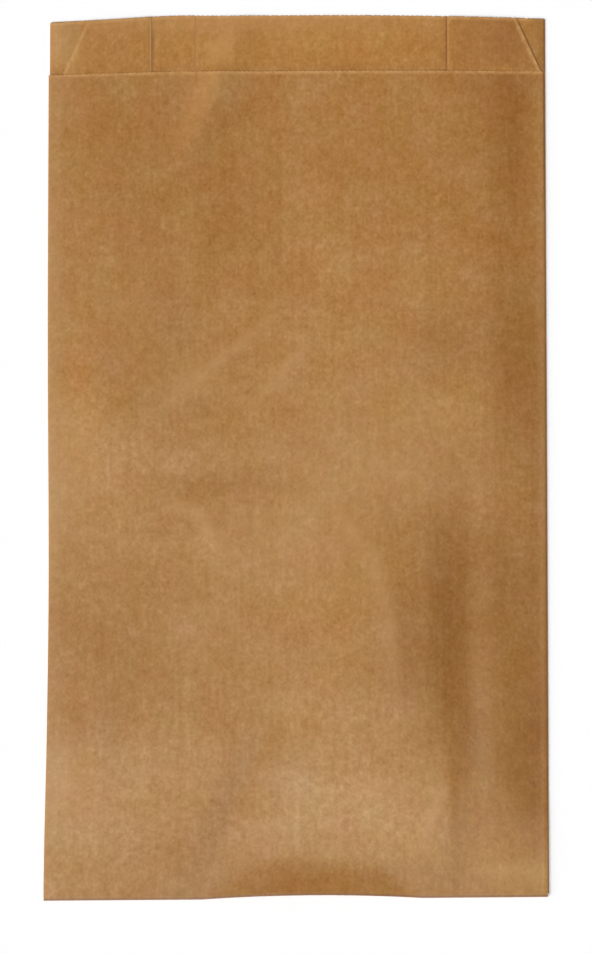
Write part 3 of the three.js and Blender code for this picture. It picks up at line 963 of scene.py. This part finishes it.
def paper_bump(nodes, patterns):
    relief = nodes.weighted(
        MIDDLE,
        (patterns.grain, GRAIN_RELIEF),
        (patterns.lengthwise, LENGTHWISE_RELIEF),
        (patterns.fibres, FIBRE_RELIEF),
    )
    inputs = {"Strength": BUMP_STRENGTH, "Distance": BUMP_DISTANCE, "Height": relief}
    return nodes.add("ShaderNodeBump", inputs).outputs[0]


def kraft_material():
    """Unbleached kraft paper: cloudy formation, fibres each way, dark specks and a faint sheen, with painted
    shade and painted highlights in places.
    """
    material = bpy.data.materials.new("kraft_paper")
    material.use_nodes = True
    shader = material.node_tree.nodes["Principled BSDF"]
    nodes = NodeTree(material.node_tree)
    sheet = nodes.scaled(nodes.attribute("flat_place", "Vector"), PER_MM)
    patterns = Patterns(nodes, sheet)
    nodes.put(shader.inputs["Base Color"], paper_colour(nodes, sheet, patterns))
    nodes.put(shader.inputs["Roughness"], paper_roughness(nodes, patterns))
    nodes.put(shader.inputs["Normal"], paper_bump(nodes, patterns))
    nodes.put(shader.inputs["Specular IOR Level"], SPECULAR_LEVEL)
    nodes.put(shader.inputs["Specular Tint"], SPECULAR_TINT)
    return material


# Painted shade and painted highlight lines along folds and cuts: the half width in millimetres and the share
# of the shade tint or the pale colour
UNDER_LEFT_FOLD = (0.8, 0.3)
UNDER_RIGHT_FOLD = (0.95, 0.58)
UNDER_RIGHT_CUT = (1.0, 0.45)
UNDER_FRONT_CUT = (4.0, 0.11)
BACK_RIGHT_FOLD = (1.0, 0.6)
RIGHT_SIDE_FOLD = (0.7, 0.58)
BOTTOM_FOLD = (0.9, 0.7)
ON_LEFT_FOLD = (0.9, 0.9)
BESIDE_SEAM = (0.6, 0.8)
MARK_CORE = 0.25  # share of the half width that has the full strength

# How far the painted shade lines under the pleats' inner folds lie past those folds, towards the middle
UNDER_LEFT_OFFSET = 0.55 * MM
UNDER_RIGHT_OFFSET = 0.15 * MM
UNDER_LEFT_X = LEFT_INNER_X + UNDER_LEFT_OFFSET
UNDER_RIGHT_X = RIGHT_INNER_X - UNDER_RIGHT_OFFSET

# Where painted shade lines weaken, in millimetres: past the front cut, and up from the bottom fold
UNDER_LEFT_FADE = (17, 9)
UNDER_LEFT_WEAK = 0.2
RIGHT_SIDE_START = (10, 40)
RIGHT_SIDE_RISE = (225, 250)
RIGHT_SIDE_WEAK = 0.62


def painted_fold_shade_and_highlight(nodes, sheet):
    """Painted shade and painted highlight lines along folds and cuts, as shares: the dark lines are painted
    shade under folds and cut edges, the pale ones painted highlights on the left inner fold and beside the
    seam's lap.

    The lines are places on the flat sheet, in millimetres. Those at the mouth show only past the front cut,
    on the inner face of the lip and on the pleats' layers there.
    """
    split = nodes.add("ShaderNodeSeparateXYZ", {"Vector": sheet})
    u, v = split.outputs["X"], split.outputs["Y"]
    inside_u = nodes.math("SUBTRACT", u, INSIDE_SHIFT / MM)
    past_front = nodes.math("SUBTRACT", v, FRONT_END / MM)
    on_lip = nodes.math("GREATER_THAN", past_front, 0.0)
    slant = nodes.math("MULTIPLY_ADD", past_front, SLANT_RUN / LIP_LENGTH, u)

    def line(along, place, width, strength):
        away = nodes.math("ABSOLUTE", nodes.math("SUBTRACT", along, place / MM))
        return nodes.ramp(away, width, width * MARK_CORE, 0.0, strength)

    # Painted shade under the pleats' inner folds, the right slanted cut, the back's right fold and the front
    # panel's cut edge
    under_left = line(inside_u, SEAM_EDGE_X - UNDER_LEFT_X, *UNDER_LEFT_FOLD)
    at_mouth = nodes.greatest(
        nodes.math("MULTIPLY", under_left, nodes.ramp(past_front, *UNDER_LEFT_FADE, UNDER_LEFT_WEAK)),
        line(inside_u, SECTION.girth - (UNDER_RIGHT_X - SEAM_OUTER_X), *UNDER_RIGHT_FOLD),
        line(slant, 2 * SECTION.right_inner - RIGHT_SLANT_START, *UNDER_RIGHT_CUT),
        line(u, SECTION.back_right_fold, *BACK_RIGHT_FOLD),
        line(past_front, 0.0, *UNDER_FRONT_CUT),
    )
    # Painted shade along the right side fold and the bottom fold
    at_side = line(u, SECTION.right_fold, *RIGHT_SIDE_FOLD)
    at_side = nodes.math("MULTIPLY", at_side, nodes.ramp(v, *RIGHT_SIDE_START))
    at_side = nodes.math("MULTIPLY", at_side, nodes.ramp(v, *RIGHT_SIDE_RISE, RIGHT_SIDE_WEAK))
    at_bottom = line(v, 0.0, *BOTTOM_FOLD)
    dark = nodes.greatest(nodes.math("MULTIPLY", at_mouth, on_lip), at_side, at_bottom)
    # Painted highlights on the left inner fold and beside the seam's lap
    on_left = line(inside_u, SECTION.left_inner, *ON_LEFT_FOLD)
    beside_seam = line(inside_u, SECTION.girth - (SEAM_EDGE_X - SEAM_OUTER_X), *BESIDE_SEAM)
    pale = nodes.math("MULTIPLY", nodes.greatest(on_left, beside_seam), on_lip)
    return dark, pale


FLOOR_GREY = (0.75, 0.75, 0.75, 1.0)


def floor_material():
    """A pale floor, white to the camera, that keeps the bag's shadow."""
    material = bpy.data.materials.new("pale_floor")
    material.use_nodes = True
    shader = material.node_tree.nodes["Principled BSDF"]
    nodes = NodeTree(material.node_tree)
    path = nodes.add("ShaderNodeLightPath")
    seen = nodes.greatest(path.outputs["Is Camera Ray"], path.outputs["Is Glossy Ray"])
    nodes.put(shader.inputs["Base Color"], nodes.mix(seen, FLOOR_GREY, WHITE))
    nodes.put(shader.inputs["Roughness"], 1.0)
    nodes.put(shader.inputs["Specular IOR Level"], 0.0)
    return material


# The stage
def link(name, data):
    thing = bpy.data.objects.new(name, data)
    bpy.context.scene.collection.objects.link(thing)
    return thing


FLOOR_SIZE = 8.0
FLOOR_DROP = 0.02 * MM


def make_floor():
    mesh = bpy.data.meshes.new("floor")
    half = FLOOR_SIZE / 2
    corners = [(x, y, -FLOOR_DROP) for x, y in ((-half, -half), (half, -half), (half, half), (-half, half))]
    mesh.from_pydata(corners, [], [(0, 1, 2, 3)])
    mesh.materials.append(floor_material())
    floor = link("floor", mesh)


# The key light comes low and broad from the lower left, a second light higher up gives the paper its sheen,
# and the sky is brighter near the horizon than overhead. A light's level is the share of a white floor's
# brightness that it gives.
KEY_AZIMUTH = math.radians(212)
KEY_HEIGHT = math.radians(19)
KEY_SPREAD = math.radians(36)
KEY_LEVEL = 0.4
SHEEN_AZIMUTH = math.radians(252)
SHEEN_HEIGHT = math.radians(71)
SHEEN_SPREAD = math.radians(20)
SHEEN_LEVEL = 0.45
SKY_LOW = 0.24
SKY_HIGH = 0.1


def make_light(name, azimuth, height, spread, level):
    lamp = bpy.data.lights.new(name, "SUN")
    lamp.energy = math.pi * level / math.sin(height)
    lamp.angle = spread
    light = link(name, lamp)
    reach = math.cos(height)
    towards = Vector((reach * math.cos(azimuth), reach * math.sin(azimuth), math.sin(height)))
    light.location = towards
    light.rotation_euler = (-towards).to_track_quat("-Z", "Y").to_euler()


def make_sky():
    world = bpy.data.worlds.new("sky")
    world.use_nodes = True
    nodes = NodeTree(world.node_tree)
    place = nodes.add("ShaderNodeTexCoord").outputs["Generated"]
    upward = nodes.add("ShaderNodeSeparateXYZ", {"Vector": place}).outputs["Z"]
    inputs = {"Value": upward, "To Min": SKY_LOW, "To Max": SKY_HIGH}
    strength = nodes.add("ShaderNodeMapRange", inputs).outputs[0]
    background = world.node_tree.nodes["Background"]
    nodes.put(background.inputs["Color"], WHITE)
    nodes.put(background.inputs["Strength"], strength)
    bpy.context.scene.world = world


# The camera: the photo's height and the focal length are in pixels, the sensor in millimetres
IMAGE_HEIGHT = 954
FOCAL_PIXELS = 3522
SENSOR_HEIGHT = 24.0
CAMERA_DISTANCE = 1.2
CAMERA_TILT = math.radians(3.86)
CAMERA_TARGET = Vector((-0.34 * MM, -7.85 * MM, 0.0))


def make_camera():
    """Looks down on the bag, from a little nearer to its bottom fold than to its mouth."""
    lens = bpy.data.cameras.new("camera")
    lens.sensor_fit = "VERTICAL"
    lens.sensor_height = SENSOR_HEIGHT
    lens.lens = FOCAL_PIXELS * SENSOR_HEIGHT / IMAGE_HEIGHT
    camera = link("camera", lens)
    back = Matrix.Translation((0, 0, CAMERA_DISTANCE))
    turn = Matrix.Rotation(CAMERA_TILT, 4, "X")
    camera.matrix_world = Matrix.Translation(CAMERA_TARGET) @ turn @ back
    bpy.context.scene.camera = camera


def make_bag():
    mesh = thick_mesh("bag", flat_sheet())
    mesh.materials.append(kraft_material())
    bag = link("bag", mesh)
    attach(bag, "root")
    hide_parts("paper_bag")


make_camera()
make_light("key", KEY_AZIMUTH, KEY_HEIGHT, KEY_SPREAD, KEY_LEVEL)
make_light("sheen", SHEEN_AZIMUTH, SHEEN_HEIGHT, SHEEN_SPREAD, SHEEN_LEVEL)
make_sky()
make_floor()
make_bag()
bpy.context.scene.view_settings.view_transform = "Standard"
